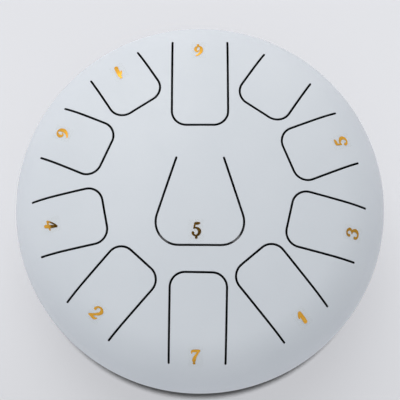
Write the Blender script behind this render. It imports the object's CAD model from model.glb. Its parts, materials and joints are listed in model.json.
"""Looks of the eleven-note steel tongue drum, in metres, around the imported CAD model.

The upper shell and its tongues are rebuilt as fine skins that follow the same dome and the same slots,
with rounded paint lips along the slots and the surfaces' own normals. Each tongue's skin meets the shell's
along its root line and bends there. The lower shell, the weld and the feet are turned from fine sections.
Fasteners, films and numbers stay as the CAD made them.
"""

import json
from math import asin, atan2, ceil, cos, pi, radians, sin, sqrt, tan

import bpy
import numpy as np
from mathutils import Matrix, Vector
from mathutils.geometry import delaunay_2d_cdt


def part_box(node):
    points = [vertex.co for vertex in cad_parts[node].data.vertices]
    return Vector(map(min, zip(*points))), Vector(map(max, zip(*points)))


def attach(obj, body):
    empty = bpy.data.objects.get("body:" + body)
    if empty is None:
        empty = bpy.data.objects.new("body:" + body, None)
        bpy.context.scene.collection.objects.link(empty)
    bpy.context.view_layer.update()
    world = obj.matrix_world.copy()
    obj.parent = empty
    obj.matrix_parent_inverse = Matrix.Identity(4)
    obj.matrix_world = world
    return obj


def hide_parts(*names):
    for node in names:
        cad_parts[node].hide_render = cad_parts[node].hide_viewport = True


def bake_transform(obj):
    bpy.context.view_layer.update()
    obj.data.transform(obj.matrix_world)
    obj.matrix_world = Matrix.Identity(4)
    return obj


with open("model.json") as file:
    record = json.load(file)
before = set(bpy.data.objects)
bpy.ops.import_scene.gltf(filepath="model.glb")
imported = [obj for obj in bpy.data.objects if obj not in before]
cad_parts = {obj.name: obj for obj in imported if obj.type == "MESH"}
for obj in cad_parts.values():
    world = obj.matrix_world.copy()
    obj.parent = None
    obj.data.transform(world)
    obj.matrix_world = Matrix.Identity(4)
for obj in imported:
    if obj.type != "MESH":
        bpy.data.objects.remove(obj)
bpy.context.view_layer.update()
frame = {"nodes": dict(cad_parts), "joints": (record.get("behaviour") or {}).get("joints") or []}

MM = 0.001

# ---- Driving dimensions, the same as the drum's own ----
SHEET = 1.5 * MM
CROWN_RADIUS = 315.0 * MM
SHOULDER_RADIUS = 46.6 * MM
SLOT = 1.4 * MM
CORNER = 9.8 * MM
CENTRE_CORNER = 15.2 * MM
CENTRE_HALF_TIP = 34.7 * MM
CENTRE_HALF_END = 15.4 * MM
CENTRE_END = 25.0 * MM
CENTRE = "tongue_low_5"
GROOVE = 0.8 * MM  # weld groove at the equator, as deep as it is high each way

BODY_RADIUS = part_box("bottom_shell")[1].x
EQUATOR_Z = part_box("bottom_shell")[1].z
LAND_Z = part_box("bottom_shell")[0].z
BOTTOM_OF_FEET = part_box("rubber_foot_1")[0].z
PAN_RADIUS = EQUATOR_Z - LAND_Z

# ---- How finely the skins are made ----
GRID = 2.4 * MM  # between the points of a skin
EDGE_STEP = 1.5 * MM  # between the points along a slot
CORNER_STEPS = 14
CAP_STEPS = 10
LIP = 0.28 * MM  # radius of the paint's round edge at a slot
LIP_STEPS = 4
ROOT_STEPS = 24
TURN_STEPS = 288  # round the drum's axis
BEND_LENGTH = 12.0 * MM  # over which a tongue bends, from its root line


# ---- The dome ----
class Dome:
    """Two tangent arcs turned about the axis: the upper shell's outer face, moved outwards by grow."""

    def __init__(self, grow):
        self.crown = CROWN_RADIUS + grow
        self.shoulder = SHOULDER_RADIUS + grow
        self.neck = BODY_RADIUS - SHOULDER_RADIUS
        self.lean = self.neck / (CROWN_RADIUS - SHOULDER_RADIUS)
        self.crown_z = EQUATOR_Z - (CROWN_RADIUS - SHOULDER_RADIUS) * sqrt(1 - self.lean**2)
        self.meeting = self.crown * self.lean
        self.crown_arc = self.crown * asin(self.lean)
        self.rim = BODY_RADIUS + grow

    def slope(self, radius):
        """Sine of the angle between the dome's normal and the axis."""
        on_shoulder = (radius - self.neck) / self.shoulder
        return np.clip(np.where(radius < self.meeting, radius / self.crown, on_shoulder), 0, 1)

    def height(self, radius):
        rise = np.sqrt(1 - self.slope(radius) ** 2)
        on_crown = self.crown_z + self.crown * rise
        return np.where(radius < self.meeting, on_crown, EQUATOR_Z + self.shoulder * rise)

    def arc(self, radius):
        """Distance along the dome from the axis to a plan radius."""
        angle = np.arcsin(self.slope(radius))
        on_shoulder = self.crown_arc + self.shoulder * (angle - asin(self.lean))
        return np.where(radius < self.meeting, self.crown * angle, on_shoulder)

    def radius(self, arc):
        """Plan radius at a distance along the dome from the axis."""
        angle = asin(self.lean) + (arc - self.crown_arc) / self.shoulder
        on_shoulder = self.neck + self.shoulder * np.sin(angle)
        return np.where(arc < self.crown_arc, self.crown * np.sin(arc / self.crown), on_shoulder)

    def lift(self, plan):
        """Points of the dome above plan points."""
        radius = np.hypot(plan[:, 0], plan[:, 1])
        return np.column_stack([plan, self.height(radius)])

    def normals(self, plan):
        radius = np.hypot(plan[:, 0], plan[:, 1])
        slope = self.slope(radius)
        outward = plan / np.maximum(radius, 1e-9)[:, None]
        return np.column_stack([outward * slope[:, None], np.sqrt(1 - slope**2)])

    def unroll(self, plan):
        """Plan points stretched outwards so that distances along the dome show truly."""
        radius = np.maximum(np.hypot(plan[:, 0], plan[:, 1]), 1e-9)
        return plan * (self.arc(radius) / radius)[:, None]

    def grid(self):
        """Plan points of staggered rings, evenly spread along the dome, with none at the rim."""
        rings = int(self.arc(np.array(self.rim)) / GRID)
        step = float(self.arc(np.array(self.rim))) / rings
        points = [(0.0, 0.0)]
        for ring in range(1, rings):
            radius = float(self.radius(np.array(ring * step)))
            count = max(6, round(2 * pi * ring * step / GRID))
            turns = (np.arange(count) + 0.5 * (ring % 2)) * 2 * pi / count
            points += list(zip(radius * np.cos(turns), radius * np.sin(turns)))
        return np.array(points)


OUTER = Dome(0)
INNER = Dome(-SHEET)


# ---- The slots ----
class Slot:
    """Centre line of a tongue's U-shaped slot, in plan: base points, and unit vectors off the tongue."""

    def __init__(self, joint):
        self.body = joint["child"]
        root = np.array(joint["pos_m"][:2])
        self.along = np.array([-joint["axis"][1], joint["axis"][0]])
        self.across = np.array([-self.along[1], self.along[0]])
        self.root = float(root @ self.along)
        node = np.array([v.co[:2] for v in frame["nodes"][self.body].data.vertices])
        tip = (node @ self.along).min() - SLOT / 2
        if self.body == CENTRE:
            half_tip, corner = CENTRE_HALF_TIP, CENTRE_CORNER
            lean = atan2(CENTRE_HALF_TIP - CENTRE_HALF_END, CENTRE_END - tip)
        else:
            half_tip, corner = (node @ self.across).max() + SLOT / 2, CORNER
            lean = 0.0
        self.end = half_tip - (self.root - tip) * tan(lean)
        middle_u = tip + corner
        middle_v = half_tip - corner * (1 + sin(lean)) / cos(lean)
        side = []  # one leg and corner, from the slot's end to the middle of the tip
        leg_top = np.array([middle_u + corner * sin(lean), middle_v + corner * cos(lean)])
        leg_end = np.array([self.root, self.end])
        steps = ceil(np.linalg.norm(leg_end - leg_top) / EDGE_STEP)
        for i in range(steps):
            side.append((leg_end + (leg_top - leg_end) * i / steps, pi / 2 - lean))
        for i in range(CORNER_STEPS):
            angle = pi / 2 - lean + (pi / 2 + lean) * i / CORNER_STEPS
            side.append((np.array([middle_u + corner * cos(angle), middle_v + corner * sin(angle)]), angle))
        steps = ceil(middle_v / EDGE_STEP)
        for i in range(steps + 1):
            side.append((np.array([tip, middle_v * (1 - i / steps)]), pi))
        half = [(base, np.array([cos(angle), sin(angle)])) for base, angle in side]
        mirror = np.array([1, -1])
        legs = half + [(base * mirror, way * mirror) for base, way in reversed(half[:-1])]
        cap = []
        for i in range(CAP_STEPS):
            angle = -pi / 2 - lean + pi * i / CAP_STEPS
            cap.append((leg_end, np.array([cos(angle), sin(angle)])))
        around = cap + legs + [(base * mirror, way * mirror) for base, way in reversed(cap)]
        self.legs = self._to_plan(legs)
        self.around = self._to_plan(around)

    def _to_plan(self, samples):
        bases = np.array([base for base, _ in samples])
        ways = np.array([way for _, way in samples])
        turn = np.stack([self.along, self.across])
        return bases @ turn, ways @ turn

    def root_point(self, inwards=0.0):
        """Point of the hinge line on the tongue's middle line, moved towards the tip."""
        return self.along * (self.root - inwards)


# ---- Skins ----
class Skin:
    """A closed mesh in the making: points, and faces with a normal for each corner and a material."""

    def __init__(self):
        self.points = []
        self.faces = []
        self.normals = []
        self.materials = []

    def add_points(self, points):
        first = len(self.points)
        self.points.extend(points)
        return np.arange(first, len(self.points))

    def add_faces(self, faces, normals, material):
        """Adds faces of one corner count, turned so that each looks the way its normals point."""
        points = np.array(self.points)[faces]
        facing = np.cross(points[:, 1] - points[:, 0], points[:, 2] - points[:, 0])
        if faces.shape[1] == 4:
            facing = facing + np.cross(points[:, 2] - points[:, 0], points[:, 3] - points[:, 0])
        wrong = (facing * normals.mean(1)).sum(1) < 0
        faces[wrong] = faces[wrong, ::-1]
        normals[wrong] = normals[wrong, ::-1]
        self.faces.extend(faces.tolist())
        self.normals.extend(normals.reshape(-1, 3).tolist())
        self.materials.extend([material] * len(faces))

    def add_strip(self, row_a, row_b, normals_a, normals_b, material, closed=False):
        """Quads between two rows of as many points each."""
        following = np.roll(np.arange(len(row_a)), -1)
        here = np.arange(len(row_a)) if closed else np.arange(len(row_a) - 1)
        there = following[here]
        faces = np.column_stack([row_a[here], row_a[there], row_b[there], row_b[here]])
        normals = np.stack([normals_a[here], normals_a[there], normals_b[there], normals_b[here]], axis=1)
        self.add_faces(faces, normals, material)

    def make(self, name, materials):
        mesh = bpy.data.meshes.new(name)
        mesh.from_pydata([tuple(p) for p in self.points], [], self.faces)
        mesh.validate()
        for material in materials:
            mesh.materials.append(material)
        mesh.polygons.foreach_set("material_index", self.materials)
        mesh.polygons.foreach_set("use_smooth", [True] * len(self.faces))
        mesh.normals_split_custom_set(self.normals)
        mesh.update()
        piece = bpy.data.objects.new(name, mesh)
        bpy.context.scene.collection.objects.link(piece)
        return piece


def inside(points, loop):
    """Whether each point lies inside a closed loop."""
    x, y = points[:, 0:1], points[:, 1:2]
    ax, ay = loop[:, 0], loop[:, 1]
    bx, by = np.roll(ax, -1), np.roll(ay, -1)
    crosses = (ay > y) != (by > y)
    rise = np.where(by == ay, 1, by - ay)
    at = ax + (y - ay) * (bx - ax) / rise
    return (crosses & (x < at)).sum(1) % 2 == 1


def far_from(points, loop, distance):
    """Whether each point lies further than a distance from a closed loop's points."""
    keep = np.ones(len(points), bool)
    low, high = loop.min(0) - distance, loop.max(0) + distance
    near = ((points > low) & (points < high)).all(1)
    gaps = np.linalg.norm(points[near, None, :] - loop[None, :, :], axis=2).min(1)
    keep[near] = gaps > distance
    return keep


def fill(skin, dome, loops, grid, outward, material):
    """Fills the area inside the first loop and outside the others with triangles of the dome.

    Each loop is a pair: the skin's point numbers, and the plan points.
    """
    flat_loops = [dome.unroll(plan) for _, plan in loops]
    flat_grid = dome.unroll(grid)
    keep = inside(flat_grid, flat_loops[0])
    for loop in flat_loops[1:]:
        keep &= ~inside(flat_grid, loop)
    for loop in flat_loops:
        keep &= far_from(flat_grid, loop, 0.62 * GRID)
    new_ids = skin.add_points(dome.lift(grid[keep]))
    ids = np.concatenate([ids for ids, _ in loops] + [new_ids])
    plan = np.concatenate([plan for _, plan in loops] + [grid[keep]])
    flat = np.concatenate(flat_loops + [flat_grid[keep]])
    edges, first = [], 0
    for loop in flat_loops:
        numbers = np.arange(len(loop)) + first
        edges += list(zip(numbers.tolist(), np.roll(numbers, -1).tolist()))
        first += len(loop)
    found = delaunay_2d_cdt([Vector(p) for p in (flat / MM).tolist()], edges, [], 0, 1e-6)
    source = np.array([origins[0] for origins in found[3]])
    triangles = source[np.array(found[2])]
    middles = flat[triangles].mean(1)
    keep = inside(middles, flat_loops[0])
    for loop in flat_loops[1:]:
        keep &= ~inside(middles, loop)
    triangles = triangles[keep]
    normals = dome.normals(plan)[triangles]
    skin.add_faces(ids[triangles], normals if outward else -normals, material)


PAINTED, BARE = 0, 1  # places of the two materials on a skin


def slot_edge(skin, samples, side):
    """Rounded lip and wall along a slot. Side is 1 for the shell's edge and -1 for the tongue's.

    Returns the top and the bottom row: the skin's point numbers and the plan points.
    """
    bases, ways = samples
    into_slot = np.column_stack([-side * ways, np.zeros(len(ways))])
    rows = []
    for step in range(LIP_STEPS + 1):
        angle = pi / 2 * (1 - step / LIP_STEPS)
        plan = bases + side * ways * (SLOT / 2 + LIP * (1 - cos(angle)))
        points = OUTER.lift(plan)
        points[:, 2] -= LIP * (1 - sin(angle))
        normals = into_slot * cos(angle) + OUTER.normals(plan) * sin(angle)
        normals /= np.linalg.norm(normals, axis=1)[:, None]
        rows.append((skin.add_points(points), normals, plan))
    for above, below in zip(rows, rows[1:]):
        skin.add_strip(above[0], below[0], above[1], below[1], PAINTED)
    plan = rows[-1][2]
    bottom = skin.add_points(INNER.lift(plan))
    skin.add_strip(rows[-1][0], bottom, into_slot, into_slot, BARE)
    return rows, (bottom, plan)


def root_face(skin, rows, bottom, facing):
    """Closes a skin along a tongue's root line, between the two ends of its slot.

    Returns the root line's own points on the top and on the bottom, from the last end back to the first.
    """
    shares = np.arange(1, ROOT_STEPS)[:, None] / ROOT_STEPS
    top_plan = rows[0][2][-1] + (rows[0][2][0] - rows[0][2][-1]) * shares
    bottom_plan = bottom[1][-1] + (bottom[1][0] - bottom[1][-1]) * shares
    top = skin.add_points(OUTER.lift(top_plan))
    low = skin.add_points(INNER.lift(bottom_plan))
    normal = np.array([*facing, 0.0])
    upper = np.concatenate([[rows[0][0][-1]], top, [rows[0][0][0]]])
    lower = np.concatenate([[bottom[0][-1]], low, [bottom[0][0]]])
    flat = np.tile(normal, (len(upper), 1))
    skin.add_strip(upper, lower, flat, flat, BARE)
    for end in (0, -1):
        fan = [row[0][end] for row in rows]
        faces = np.array([[fan[i], fan[i + 1], bottom[0][end]] for i in range(LIP_STEPS)])
        skin.add_faces(faces, np.tile(normal, (len(faces), 3, 1)), BARE)
    return (top, top_plan), (low, bottom_plan)


def joined(edge, root):
    """A closed loop from a slot's edge and the root line."""
    return np.concatenate([edge[0], root[0]]), np.concatenate([edge[1], root[1]])


def circle(radius):
    turns = np.arange(TURN_STEPS) * 2 * pi / TURN_STEPS
    return radius * np.column_stack([np.cos(turns), np.sin(turns)])


def make_top_shell(slots, grids):
    """Skin of the upper shell, open at the slots and cut off along each root line."""
    skin = Skin()
    rim_out = circle(BODY_RADIUS - SHOULDER_RADIUS + sqrt(SHOULDER_RADIUS**2 - GROOVE**2))
    rim_in = circle(INNER.rim)
    outer_rim = skin.add_points(OUTER.lift(rim_out))
    inner_rim = skin.add_points(INNER.lift(rim_in))
    groove_foot = circle(BODY_RADIUS - GROOVE)
    groove = skin.add_points(np.column_stack([groove_foot, np.full(TURN_STEPS, EQUATOR_Z)]))
    down = np.tile([0.0, 0.0, -1.0], (TURN_STEPS, 1))
    slant = np.column_stack([circle(sqrt(0.5)), np.full(TURN_STEPS, -sqrt(0.5))])
    skin.add_strip(outer_rim, groove, slant, slant, BARE, closed=True)
    skin.add_strip(groove, inner_rim, down, down, BARE, closed=True)
    top_loops, bottom_loops = [(outer_rim, rim_out)], [(inner_rim, rim_in)]
    for slot in slots:
        rows, bottom = slot_edge(skin, slot.around, 1)
        top_root, low_root = root_face(skin, rows, bottom, -slot.along)
        top_loops.append(joined((rows[0][0], rows[0][2]), top_root))
        bottom_loops.append(joined(bottom, low_root))
    fill(skin, OUTER, top_loops, grids[0], True, PAINTED)
    fill(skin, INNER, bottom_loops, grids[1], False, BARE)
    return skin


def make_tongue(slot, grids):
    """Skin of one tongue, cut off along its root line."""
    skin = Skin()
    rows, bottom = slot_edge(skin, slot.legs, -1)
    top_root, low_root = root_face(skin, rows, bottom, slot.along)
    fill(skin, OUTER, [joined((rows[0][0], rows[0][2]), top_root)], grids[0], True, PAINTED)
    fill(skin, INNER, [joined(bottom, low_root)], grids[1], False, BARE)
    return skin


# ---- Turned parts ----
def arc_points(centre, radius, start, stop, steps):
    """Points (radius, height) of an arc in a section, with the normals that point off its centre."""
    angles = np.linspace(start, stop, steps + 1)
    ways = np.column_stack([np.cos(angles), np.sin(angles)])
    return np.array(centre) + radius * ways, ways


def turn_section(skin, runs, centre=(0.0, 0.0), steps=TURN_STEPS):
    """Turns a closed section about a vertical line. Each run is (points, normals, material), end to end."""
    turns = np.arange(steps) * 2 * pi / steps
    spin = np.column_stack([np.cos(turns), np.sin(turns)])
    offset = np.array([*centre, 0.0])

    def ring(radius, height):
        return np.column_stack([spin * radius, np.full(steps, height)]) + offset

    first = None
    last = None
    for index, (points, normals, material) in enumerate(runs):
        rings = []
        for i, (radius, height) in enumerate(points):
            if i == 0 and last is not None:
                rings.append(last)
            elif index == len(runs) - 1 and i == len(points) - 1:
                rings.append(first)
            else:
                rings.append(skin.add_points(ring(radius, height)))
        if first is None:
            first = rings[0]
        last = rings[-1]
        facing = [np.column_stack([spin * n[0], np.full(steps, n[1])]) for n in normals]
        for i in range(len(points) - 1):
            skin.add_strip(rings[i], rings[i + 1], facing[i], facing[i + 1], material, closed=True)


def straight(start, stop, normal, material, steps=1):
    """A straight run of a section."""
    shares = np.linspace(0, 1, steps + 1)[:, None]
    points = np.array(start) + (np.array(stop) - np.array(start)) * shares
    return points, np.tile(normal, (steps + 1, 1)), material


def curved(centre, radius, start, stop, steps, material, hollow=False):
    """A round run of a section. A hollow one shows its inner side."""
    points, ways = arc_points(centre, radius, start, stop, steps)
    return points, -ways if hollow else ways, material


SOUND_HOLE_RADIUS = 33.0 * MM
HOLE_ROUND = 0.4 * MM


def make_bottom_shell():
    """Lower shell: round side, flat land and a sound hole with rounded edges."""
    skin = Skin()
    land = BODY_RADIUS - PAN_RADIUS
    hole = SOUND_HOLE_RADIUS
    edge = HOLE_ROUND
    inside_z = LAND_Z + SHEET
    bevel = asin(GROOVE / PAN_RADIUS)
    below_groove = (land + PAN_RADIUS * cos(bevel), EQUATOR_Z - GROOVE)
    groove_foot = (BODY_RADIUS - GROOVE, EQUATOR_Z)
    runs = [
        curved((land, EQUATOR_Z), PAN_RADIUS, -bevel, -pi / 2, 56, PAINTED),
        straight((land, LAND_Z), (hole + edge, LAND_Z), (0, -1), PAINTED, 12),
        curved((hole + edge, LAND_Z + edge), edge, -pi / 2, -pi, 5, PAINTED),
        straight((hole, LAND_Z + edge), (hole, inside_z - edge), (-1, 0), PAINTED),
        curved((hole + edge, inside_z - edge), edge, pi, pi / 2, 5, PAINTED),
        straight((hole + edge, inside_z), (land, inside_z), (0, 1), BARE, 12),
        curved((land, EQUATOR_Z), PAN_RADIUS - SHEET, -pi / 2, 0, 56, BARE, hollow=True),
        straight((BODY_RADIUS - SHEET, EQUATOR_Z), groove_foot, (0, 1), BARE),
        straight(groove_foot, below_groove, (sqrt(0.5), sqrt(0.5)), BARE),
    ]
    turn_section(skin, runs)
    return skin


WELD_STEPS = 1440
WELD_ROWS = 8
WELD_PROUD = 0.12 * MM  # height of the ground crown
WELD_TOE = 0.01 * MM  # how far the bead's edges sink into the shells
# Waves round the drum, phase and size
WELD_WAVES = [(7, 0.9, 0.5), (23, 2.1, 0.6), (61, 0.3, 0.7), (149, 4.0, 0.5)]
WAVES_PEAK = 1.6  # what the waves' sum is divided by
WELD_HALF, WELD_HALF_WAVER = 1.12, 0.1  # half the bead's height, in weld grooves
CROWN_SHARE, CROWN_WAVER = 0.8, 0.2  # of WELD_PROUD
HALF_SHIFT, CROWN_SHIFT = 0.7, 1.9  # set the two waverings apart


def waver(turns, shift):
    """Slow unevenness round the drum, within about one and a half either way."""
    waves = (size * np.sin(count * turns + phase + shift * count) for count, phase, size in WELD_WAVES)
    return sum(waves) / WAVES_PEAK


def make_rim_weld():
    """Weld bead in the groove between the shells, ground by hand to a low crown that wavers a little."""
    skin = Skin()
    turns = np.arange(WELD_STEPS) * 2 * pi / WELD_STEPS
    spin = np.column_stack([np.cos(turns), np.sin(turns)])
    half = GROOVE * (WELD_HALF + WELD_HALF_WAVER * waver(turns, HALF_SHIFT))
    proud = WELD_PROUD * (CROWN_SHARE + CROWN_WAVER * waver(turns, CROWN_SHIFT))
    rows = []
    for share in np.linspace(-1, 1, WELD_ROWS + 1):
        height = half * share
        shell = SHOULDER_RADIUS if share > 0 else PAN_RADIUS
        surface = BODY_RADIUS - shell + np.sqrt(shell**2 - height**2)
        radius = surface + proud * (1 - share**2) - WELD_TOE
        rows.append(np.column_stack([spin * radius[:, None], EQUATOR_Z + height]))
    rows = np.array(rows)
    normals = np.cross(np.roll(rows, -1, axis=1) - np.roll(rows, 1, axis=1), np.gradient(rows, axis=0))
    normals /= np.linalg.norm(normals, axis=2)[:, :, None]
    rings = [skin.add_points(row) for row in rows]
    for i in range(WELD_ROWS):
        skin.add_strip(rings[i], rings[i + 1], normals[i], normals[i + 1], PAINTED, closed=True)
    foot = skin.add_points(np.column_stack([spin * (BODY_RADIUS - GROOVE), np.full(WELD_STEPS, EQUATOR_Z)]))
    for ring, way in ((rings[0], -1.0), (rings[-1], 1.0)):
        back = np.column_stack([-spin, np.full(WELD_STEPS, way)]) * sqrt(0.5)
        skin.add_strip(ring, foot, back, back, PAINTED, closed=True)
    return skin


# Rubber foot, in the CAD foot's own box
FOOT_BASE_RADIUS = 8.5 * MM
FOOT_ROUND = 1.2 * MM
FOOT_TOP_ROUND = 0.3 * MM
RECESS_RADIUS = 5.2 * MM
RECESS_DEPTH = 4.2 * MM
RECESS_ROUND = 0.4 * MM
BASE_GROOVE = 0.3 * MM  # radius of the round groove in the sole
BASE_GROOVE_AT = 6.45 * MM
SCREW_HOLE_RADIUS = 2.2 * MM
FOOT_STEPS = 96


def make_foot(node):
    """Moulded foot: a low cone with rounded edges, a ring groove in its sole and a recess for the screw."""
    low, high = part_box(node)
    centre = ((low.x + high.x) / 2, (low.y + high.y) / 2)
    sole, top = low.z, high.z
    lean = atan2((high.x - low.x) / 2 - FOOT_BASE_RADIUS, top - sole)

    def side(height):
        return FOOT_BASE_RADIUS + height * tan(lean)

    base_round = (side(FOOT_ROUND) - FOOT_ROUND / cos(lean), sole + FOOT_ROUND)
    top_round = (side(top - sole - FOOT_TOP_ROUND) - FOOT_TOP_ROUND / cos(lean), top - FOOT_TOP_ROUND)
    flank_way = np.array([cos(lean), -sin(lean)])
    flank_low = np.array(base_round) + FOOT_ROUND * flank_way
    flank_high = np.array(top_round) + FOOT_TOP_ROUND * flank_way
    mouth = RECESS_RADIUS + RECESS_ROUND
    ceiling = sole + RECESS_DEPTH
    groove_in, groove_out = BASE_GROOVE_AT - BASE_GROOVE, BASE_GROOVE_AT + BASE_GROOVE
    runs = [
        curved(base_round, FOOT_ROUND, -pi / 2, -lean, 10, 0),
        straight(flank_low, flank_high, flank_way, 0, 6),
        curved(top_round, FOOT_TOP_ROUND, -lean, pi / 2, 6, 0),
        straight((top_round[0], top), (SCREW_HOLE_RADIUS, top), (0, 1), 0),
        straight((SCREW_HOLE_RADIUS, top), (SCREW_HOLE_RADIUS, ceiling), (-1, 0), 0),
        straight((SCREW_HOLE_RADIUS, ceiling), (RECESS_RADIUS, ceiling), (0, -1), 0),
        straight((RECESS_RADIUS, ceiling), (RECESS_RADIUS, sole + RECESS_ROUND), (-1, 0), 0),
        curved((mouth, sole + RECESS_ROUND), RECESS_ROUND, pi, 3 * pi / 2, 6, 0),
        straight((mouth, sole), (groove_in, sole), (0, -1), 0),
        curved((BASE_GROOVE_AT, sole), BASE_GROOVE, pi, 0, 8, 0, hollow=True),
        straight((groove_out, sole), (base_round[0], sole), (0, -1), 0),
    ]
    skin = Skin()
    turn_section(skin, runs, centre, FOOT_STEPS)
    return skin


# ---- Materials ----
def new_material(name):
    """A node material with its Principled shader and an object-space coordinate."""
    material = bpy.data.materials.new(name)
    material.use_nodes = True
    nodes = material.node_tree.nodes
    shader = nodes["Principled BSDF"]
    place = nodes.new("ShaderNodeTexCoord")
    return material, shader, place.outputs["Object"]


def noise(material, place, scale, detail=2.0, roughness=0.5):
    node = material.node_tree.nodes.new("ShaderNodeTexNoise")
    node.inputs["Scale"].default_value = scale
    node.inputs["Detail"].default_value = detail
    node.inputs["Roughness"].default_value = roughness
    material.node_tree.links.new(place, node.inputs["Vector"])
    return node.outputs["Fac"]


def ramp(material, value, low, high, low_at=0.3, high_at=0.7):
    """Colour that runs from low to high as the value runs between two places."""
    node = material.node_tree.nodes.new("ShaderNodeValToRGB")
    node.color_ramp.elements[0].position = low_at
    node.color_ramp.elements[0].color = (*low, 1)
    node.color_ramp.elements[1].position = high_at
    node.color_ramp.elements[1].color = (*high, 1)
    material.node_tree.links.new(value, node.inputs["Fac"])
    return node.outputs["Color"]


def spread(material, value, low, high, low_at=0.3, high_at=0.7):
    """Number that runs from low to high as the value runs between two places."""
    node = material.node_tree.nodes.new("ShaderNodeMapRange")
    node.inputs["From Min"].default_value = low_at
    node.inputs["From Max"].default_value = high_at
    node.inputs["To Min"].default_value = low
    node.inputs["To Max"].default_value = high
    material.node_tree.links.new(value, node.inputs["Value"])
    return node.outputs["Result"]


def bump(material, value, depth, under=None):
    """Bump of a true depth in metres, on top of another bump if one is given."""
    node = material.node_tree.nodes.new("ShaderNodeBump")
    node.inputs["Strength"].default_value = 1.0
    node.inputs["Distance"].default_value = depth
    material.node_tree.links.new(value, node.inputs["Height"])
    if under is not None:
        material.node_tree.links.new(under, node.inputs["Normal"])
    return node.outputs["Normal"]


def paint_material():
    """Pale blue-grey satin powder coat: fine orange peel over a slow, faint unevenness."""
    material, shader, place = new_material("satin_powder_coat")
    link = material.node_tree.links.new
    clouds = noise(material, place, 14.0, 3.0)
    grain = noise(material, place, 2600.0, 3.0, 0.7)
    powder = material.node_tree.nodes.new("ShaderNodeMath")
    powder.operation = "MULTIPLY_ADD"
    powder.inputs[1].default_value = 0.5
    link(grain, powder.inputs[0])
    link(clouds, powder.inputs[2])
    dark, light = (0.640, 0.678, 0.731), (0.696, 0.730, 0.781)
    colour = ramp(material, powder.outputs["Value"], dark, light, 0.45, 1.05)
    link(colour, shader.inputs["Base Color"])
    link(spread(material, noise(material, place, 300.0), 0.38, 0.52), shader.inputs["Roughness"])
    slow = bump(material, noise(material, place, 26.0), 0.00012)
    peel = bump(material, noise(material, place, 620.0, 3.0, 0.6), 0.000035, slow)
    link(bump(material, grain, 0.000006, peel), shader.inputs["Normal"])
    shader.inputs["IOR"].default_value = 1.5
    return material


def bare_steel_material():
    """Dark mill-scale steel inside the drum and on the cut walls of the slots."""
    material, shader, place = new_material("bare_dark_steel")
    link = material.node_tree.links.new
    patches = noise(material, place, 90.0, 5.0, 0.6)
    link(ramp(material, patches, (0.026, 0.030, 0.034), (0.066, 0.074, 0.080)), shader.inputs["Base Color"])
    link(spread(material, patches, 0.62, 0.42), shader.inputs["Roughness"])
    link(bump(material, noise(material, place, 900.0, 4.0), 0.00002), shader.inputs["Normal"])
    shader.inputs["Metallic"].default_value = 0.6
    return material


def rubber_material():
    """Black moulded rubber with a fine stipple and a little dust."""
    material, shader, place = new_material("foot_rubber")
    link = material.node_tree.links.new
    dust = noise(material, place, 220.0, 5.0, 0.65)
    colour = ramp(material, dust, (0.017, 0.017, 0.018), (0.034, 0.033, 0.032), 0.35, 0.75)
    link(colour, shader.inputs["Base Color"])
    link(spread(material, dust, 0.62, 0.78), shader.inputs["Roughness"])
    link(bump(material, noise(material, place, 2400.0, 2.0), 0.00003), shader.inputs["Normal"])
    return material


def zinc_material():
    """Bright zinc plate with faint cloudy passivation."""
    material, shader, place = new_material("zinc_plate")
    link = material.node_tree.links.new
    clouds = noise(material, place, 500.0, 4.0, 0.6)
    link(ramp(material, clouds, (0.52, 0.53, 0.55), (0.66, 0.67, 0.66)), shader.inputs["Base Color"])
    link(spread(material, clouds, 0.24, 0.38), shader.inputs["Roughness"])
    link(bump(material, noise(material, place, 3000.0), 0.000006), shader.inputs["Normal"])
    shader.inputs["Metallic"].default_value = 1.0
    return material


def gold_material():
    """Hot-stamped gold foil, a little uneven."""
    material, shader, place = new_material("gold_foil")
    link = material.node_tree.links.new
    grain = noise(material, place, 900.0, 3.0)
    link(ramp(material, grain, (0.76, 0.38, 0.045), (0.86, 0.46, 0.065)), shader.inputs["Base Color"])
    link(spread(material, grain, 0.12, 0.20), shader.inputs["Roughness"])
    link(bump(material, noise(material, place, 260.0), 0.00002), shader.inputs["Normal"])
    shader.inputs["Metallic"].default_value = 1.0
    return material


def film_material():
    """Thin clear film that yellows the paint under it a very little."""
    material, shader, place = new_material("clear_film")
    link = material.node_tree.links.new
    haze = noise(material, place, 400.0, 3.0)
    link(ramp(material, haze, (0.58, 0.56, 0.36), (0.66, 0.64, 0.44)), shader.inputs["Base Color"])
    link(spread(material, haze, 0.14, 0.22), shader.inputs["Roughness"])
    shader.inputs["Alpha"].default_value = 0.011
    return material


paint = paint_material()
bare_steel = bare_steel_material()
rubber = rubber_material()
zinc = zinc_material()
gold = gold_material()
film = film_material()


# ---- Pieces ----
def carry_over(prefix, material):
    """Keeps the CAD nodes of one kind, with a worked-out material."""
    for name, node in frame["nodes"].items():
        if name.startswith(prefix):
            node.data.materials.clear()
            node.data.materials.append(material)


slots = [Slot(joint) for joint in frame["joints"]]
grids = (OUTER.grid(), INNER.grid())

top_shell = make_top_shell(slots, grids).make("top_shell_skin", [paint, bare_steel])
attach(top_shell, "shell")
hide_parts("top_shell")

for slot in slots:
    tongue = make_tongue(slot, grids).make(f"{slot.body}_skin", [paint, bare_steel])
    root, inner_end = slot.root_point(), slot.root_point(BEND_LENGTH)
    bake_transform(tongue)
    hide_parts(slot.body)

bottom_shell = make_bottom_shell().make("bottom_shell_skin", [paint, bare_steel])
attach(bottom_shell, "shell")
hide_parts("bottom_shell")

rim_weld = make_rim_weld().make("rim_weld_skin", [paint])
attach(rim_weld, "shell")
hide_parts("rim_weld")

for node in sorted(frame["nodes"]):
    if node.startswith("rubber_foot"):
        foot = make_foot(node).make(f"{node}_skin", [rubber])
        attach(foot, "shell")
        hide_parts(node)

carry_over("foot_", zinc)
carry_over("sticker_number", gold)
carry_over("sticker_film", film)


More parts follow.
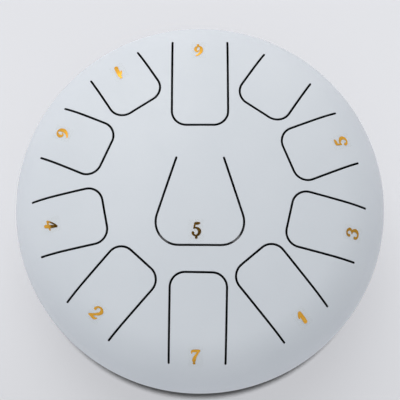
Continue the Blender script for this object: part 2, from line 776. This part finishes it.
# ---- Stage, light and camera ----
CAMERA_TILT = radians(9.64)  # off the drum's axis, towards the player
CAMERA_DISTANCE = 7.89 * BODY_RADIUS
LENS = 130.2
SENSOR = 36.0
LIFT = 0.022  # share of the picture by which the drum sits below its middle

# The light tent's brightness by direction
TENT_BASE = 0.675
TENT_SIDE = 0.01  # added on the left and taken off on the right
TENT_HORIZON = 0.17
TENT_BACK = 0.15  # share by which the horizon is brighter behind the drum and darker before it
TENT_FRONT_TINT = (0.98, 1.01, 1.03)
TENT_BACK_TINT = (1.02, 1.01, 0.99)
KEY_WAY = (-0.25, 0.62, 0.74)
KEY_STRENGTH = 3.5
KEY_TIGHTNESS = 16.0
# Gaps between the tent's panels: direction, inner and outer radius in degrees, and the share of light left
TENT_GAPS = [
    ((0.0, -0.09, 1.0), 9.0, 15.0, 0.05),
    ((-0.73, 0.04, 0.69), 7.0, 12.0, 0.05),
    ((0.88, -0.05, 0.47), 12.0, 32.0, 0.55),
    ((-0.36, 0.72, 0.59), 3.0, 11.0, 0.6),
    ((0.0, -1.0, 0.0), 10.0, 31.0, 0.5),
]
FLOOR_LIGHT = (0.99, 1.0, 1.05)
FLOOR_NEAR, FLOOR_FAR = 0.106, 0.121  # how much the floor reflects in front of the drum and behind it
FLOOR_FADE = (-0.15, 0.02)  # where the one turns into the other
FLOOR_HALF = 6.0
FLOOR_LAMP_DISTANCE = 2.0
# The floor's own lamps: direction, strength, spread in degrees
FLOOR_LAMPS = {
    "floor_overhead": ((0.0, 0.008, 1.0), 13.6, 3.8),
    "floor_tent": ((0.0, 0.0, 1.0), 1.5, 90.0),
    "floor_key": ((-0.06, 0.5, 0.86), 2.6, 36.0),
}


def make_floor():
    """Pale floor. It is dark to the tent and lit by its own lamps, so that the drum leaves no halo on it."""
    mesh = bpy.data.meshes.new("floor")
    corners = [(-1, -1, 0), (1, -1, 0), (1, 1, 0), (-1, 1, 0)]
    mesh.from_pydata([FLOOR_HALF * Vector(corner) for corner in corners], [], [(0, 1, 2, 3)])
    floor = bpy.data.objects.new("floor", mesh)
    floor.location.z = BOTTOM_OF_FEET
    floor_only = bpy.data.collections.new("floor_only")
    floor_only.objects.link(floor)
    bpy.context.scene.collection.children.link(floor_only)
    material, shader, place = new_material("pale_floor")
    axes = material.node_tree.nodes.new("ShaderNodeSeparateXYZ")
    material.node_tree.links.new(place, axes.inputs["Vector"])
    fade = spread(material, axes.outputs["Y"], 0.0, 1.0, FLOOR_FADE[0], FLOOR_FADE[1])
    colour = ramp(material, fade, (FLOOR_NEAR,) * 3, (FLOOR_FAR,) * 3, 0.0, 1.0)
    material.node_tree.links.new(colour, shader.inputs["Base Color"])
    shader.inputs["Roughness"].default_value = 1.0
    shader.inputs["Specular IOR Level"].default_value = 0.0
    mesh.materials.append(material)
    return floor_only


def make_tent():
    """Soft light tent all round, as the brightness of the world by direction."""
    world = bpy.data.worlds.new("light_tent")
    bpy.context.scene.world = world
    world.use_nodes = True
    tree = world.node_tree
    direction = tree.nodes.new("ShaderNodeTexCoord").outputs["Generated"]

    def calculate(operation, *values):
        node = tree.nodes.new("ShaderNodeMath")
        node.operation = operation
        for socket, value in zip(node.inputs, values):
            if isinstance(value, float):
                socket.default_value = value
            else:
                tree.links.new(value, socket)
        return node.outputs["Value"]

    def towards(way):
        """Cosine of the angle to a fixed direction."""
        node = tree.nodes.new("ShaderNodeVectorMath")
        node.operation = "DOT_PRODUCT"
        node.inputs[1].default_value = Vector(way).normalized()
        tree.links.new(direction, node.inputs[0])
        return node.outputs["Value"]

    def gap(way, inner, outer, left):
        node = tree.nodes.new("ShaderNodeMapRange")
        node.interpolation_type = "SMOOTHSTEP"
        node.inputs["From Min"].default_value = cos(radians(outer))
        node.inputs["From Max"].default_value = cos(radians(inner))
        node.inputs["To Min"].default_value = 1.0
        node.inputs["To Max"].default_value = left
        tree.links.new(towards(way), node.inputs["Value"])
        return node.outputs["Result"]

    light = calculate("MULTIPLY_ADD", towards((-1, 0, 0)), TENT_SIDE, TENT_BASE)
    flatness = calculate("SUBTRACT", 1.0, calculate("ABSOLUTE", towards((0, 0, 1))))
    horizon = calculate("MULTIPLY", calculate("POWER", flatness, 2.0), TENT_HORIZON)
    back = calculate("MULTIPLY_ADD", towards((0, 1, 0)), TENT_BACK, 1.0)
    light = calculate("MULTIPLY_ADD", horizon, back, light)
    key = calculate("POWER", calculate("MAXIMUM", towards(KEY_WAY), 0.0), KEY_TIGHTNESS)
    light = calculate("MULTIPLY_ADD", key, KEY_STRENGTH, light)
    for place in TENT_GAPS:
        light = calculate("MULTIPLY", light, gap(*place))
    tint = tree.nodes.new("ShaderNodeMix")
    tint.data_type = "RGBA"
    tree.links.new(calculate("MULTIPLY_ADD", towards((0, 1, 0)), 0.5, 0.5), tint.inputs["Factor"])
    tint.inputs["A"].default_value = (*TENT_FRONT_TINT, 1.0)
    tint.inputs["B"].default_value = (*TENT_BACK_TINT, 1.0)
    tree.links.new(tint.outputs["Result"], tree.nodes["Background"].inputs["Color"])
    tree.links.new(light, tree.nodes["Background"].inputs["Strength"])


def make_floor_lamp(name, way, strength, spread_angle, receivers):
    """Distant soft lamp that lights the floor alone, while everything throws its shadow there."""
    light = bpy.data.lights.new(name, "SUN")
    light.energy = strength
    light.angle = radians(spread_angle)
    light.color = FLOOR_LIGHT
    lamp = bpy.data.objects.new(name, light)
    bpy.context.scene.collection.objects.link(lamp)
    lamp.location = Vector(way) * FLOOR_LAMP_DISTANCE
    lamp.rotation_euler = (-Vector(way)).to_track_quat("-Z", "Y").to_euler()
    lamp.light_linking.receiver_collection = receivers


def make_camera():
    camera = bpy.data.cameras.new("camera")
    camera.sensor_width = SENSOR
    camera.lens = LENS
    camera.shift_y = LIFT
    camera.clip_start = 0.01
    eye = bpy.data.objects.new("camera", camera)
    bpy.context.scene.collection.objects.link(eye)
    middle = Vector((0, 0, EQUATOR_Z))
    eye.location = middle + CAMERA_DISTANCE * Vector((0, -sin(CAMERA_TILT), cos(CAMERA_TILT)))
    eye.rotation_euler = (CAMERA_TILT, 0, 0)
    bpy.context.scene.camera = eye


floor_only = make_floor()
make_tent()
for name, (way, strength, spread_angle) in FLOOR_LAMPS.items():
    make_floor_lamp(name, way, strength, spread_angle, floor_only)
make_camera()
bpy.context.scene.view_settings.view_transform = "Standard"
